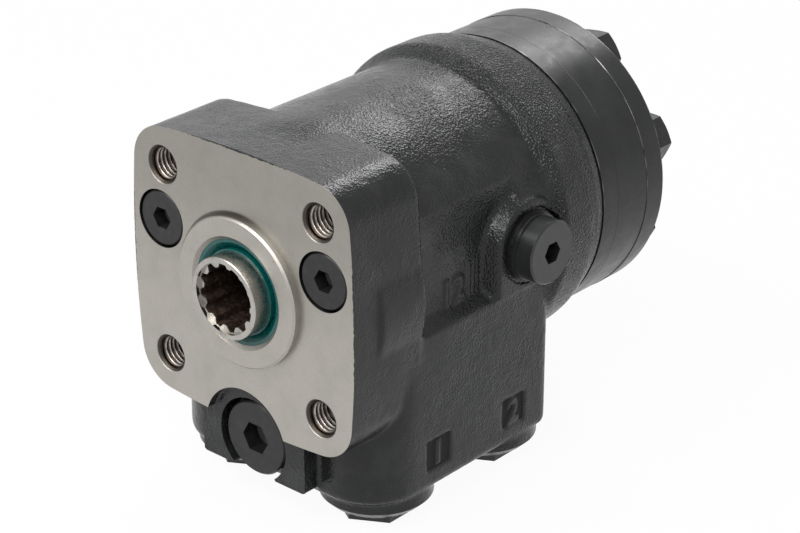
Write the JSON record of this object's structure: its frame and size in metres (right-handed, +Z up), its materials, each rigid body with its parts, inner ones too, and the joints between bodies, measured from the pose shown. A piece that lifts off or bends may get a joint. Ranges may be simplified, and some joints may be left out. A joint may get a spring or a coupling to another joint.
{
  "type": "orbital steering unit",
  "caption": "Hydrostatic steering unit with a splined spool, a cast housing with ports underneath, load-sensing boss, gear set and end cover.",
  "frame": {"origin": "centre of the machined mounting face, on the shaft axis", "axes": "-Y is the mounting face's outward normal, and the body reaches back along +Y; +X carries the load-sensing port; +Z is up, with the ports underneath"},
  "size_m": [0.0965, 0.1499, 0.1165],
  "materials": {
    "black_paint": "semi-gloss black paint over cast iron, machined faces left bare",
    "machined_steel": "ground and turned steel",
    "black_oxide": "black oxide, semi-gloss",
    "grey_steel": "phosphated steel, dull",
    "teal_rubber": "teal sealing rubber, matt",
    "black_rubber": "black sealing rubber, matt",
    "bright_steel": "polished hardened steel",
    "cage_brass": "brass, pressed",
    "copper_washer": "bonded sealing washer, dark",
    "black_plastic": "black polyethylene"
  },
  "bodies": {
    "housing": {"housing": "black_paint", "dust_seal": "teal_rubber", "shaft_seal": "teal_rubber", "thrust_race_front": "bright_steel", "gear_ring": "black_paint", "distributor_plate": "black_paint", "end_cover": "black_paint", "cover_bolts": "black_oxide", "bolt_washers": "copper_washer", "housing_o_ring": "black_rubber", "plate_o_ring": "black_rubber", "cover_o_ring": "black_rubber", "relief_plug": "black_oxide", "relief_plug_seal": "copper_washer", "relief_spring": "grey_steel", "relief_seat": "machined_steel", "shock_plug_left": "black_oxide", "shock_plug_right": "black_oxide", "shock_seals": "copper_washer", "shock_spring_left": "grey_steel", "shock_spring_right": "grey_steel", "suction_pins": "grey_steel", "check_bush": "machined_steel", "load_sense_washer": "copper_washer", "load_sense_plug": "black_oxide", "port_plugs": "black_plastic"},
    "sleeve": {"sleeve": "machined_steel", "cross_pin": "bright_steel", "centering_springs": "grey_steel", "spring_retainer": "grey_steel", "thrust_race_rear": "bright_steel"},
    "spool": {"spool": "machined_steel"},
    "thrust_cage": {"thrust_cage": "cage_brass", "thrust_needles": "bright_steel"},
    "cardan_spacer": {"cardan_spacer": "grey_steel"},
    "rotor": {"rotor": "machined_steel"},
    "cardan_shaft": {"cardan_shaft": "machined_steel"},
    "relief_poppet": {"relief_poppet": "bright_steel"},
    "shock_ball_left": {"shock_ball_left": "bright_steel"},
    "shock_ball_right": {"shock_ball_right": "bright_steel"},
    "suction_ball_right": {"suction_ball_right": "bright_steel"},
    "suction_ball_left": {"suction_ball_left": "bright_steel"},
    "check_ball": {"check_ball": "bright_steel"}
  },
  "joints": [
    {"name": "steering_turn", "type": "hinge", "parent": "housing", "child": "sleeve", "pos_m": [0, 0, 0], "axis": [0, 1, 0], "continuous": true},
    {"name": "spool_deflection", "type": "hinge", "parent": "sleeve", "child": "spool", "pos_m": [0, 0, 0], "axis": [0, 1, 0], "range_deg": [-8, 8], "stiffness_Nm_per_rad": 14, "deforming": ["centering_springs"]},
    {"name": "thrust_cage_turn", "type": "hinge", "parent": "housing", "child": "thrust_cage", "pos_m": [0, 0, 0], "axis": [0, 1, 0], "continuous": true},
    {"name": "rotor_orbit", "type": "hinge", "parent": "housing", "child": "cardan_spacer", "pos_m": [0, 0, 0], "axis": [0, 1, 0], "continuous": true},
    {"name": "rotor_spin", "type": "hinge", "parent": "cardan_spacer", "child": "rotor", "pos_m": [0.0011, 0, 0.00279], "axis": [0, 1, 0], "continuous": true},
    {"name": "cardan_spin", "type": "hinge", "parent": "cardan_spacer", "child": "cardan_shaft", "pos_m": [0, 0.038, 0], "axis": [0.0138, 0.9993, 0.0351], "continuous": true},
    {"name": "relief_poppet_lift", "type": "slide", "parent": "housing", "child": "relief_poppet", "axis": [0, -1, 0], "range_m": [0, 0.002], "stiffness_N_per_m": 25000, "deforming": ["relief_spring"]},
    {"name": "shock_ball_left_lift", "type": "slide", "parent": "housing", "child": "shock_ball_left", "axis": [0, -1, 0], "range_m": [0, 0.002], "stiffness_N_per_m": 12000, "deforming": ["shock_spring_left"]},
    {"name": "shock_ball_right_lift", "type": "slide", "parent": "housing", "child": "shock_ball_right", "axis": [0, -1, 0], "range_m": [0, 0.002], "stiffness_N_per_m": 12000, "deforming": ["shock_spring_right"]},
    {"name": "suction_ball_right_lift", "type": "slide", "parent": "housing", "child": "suction_ball_right", "axis": [0, 1, 0], "range_m": [0, 0.002]},
    {"name": "suction_ball_left_lift", "type": "slide", "parent": "housing", "child": "suction_ball_left", "axis": [0, 1, 0], "range_m": [0, 0.002]},
    {"name": "check_ball_lift", "type": "slide", "parent": "housing", "child": "check_ball", "axis": [0, 0, 1], "range_m": [0, 0.002]}
  ],
  "couplings": [
    {"joint": "thrust_cage_turn", "follows": "steering_turn", "ratio": 0.5},
    {"joint": "rotor_orbit", "follows": "steering_turn", "ratio": -6},
    {"joint": "rotor_spin", "follows": "steering_turn", "ratio": 7},
    {"joint": "cardan_spin", "follows": "steering_turn", "ratio": 7}
  ]
}
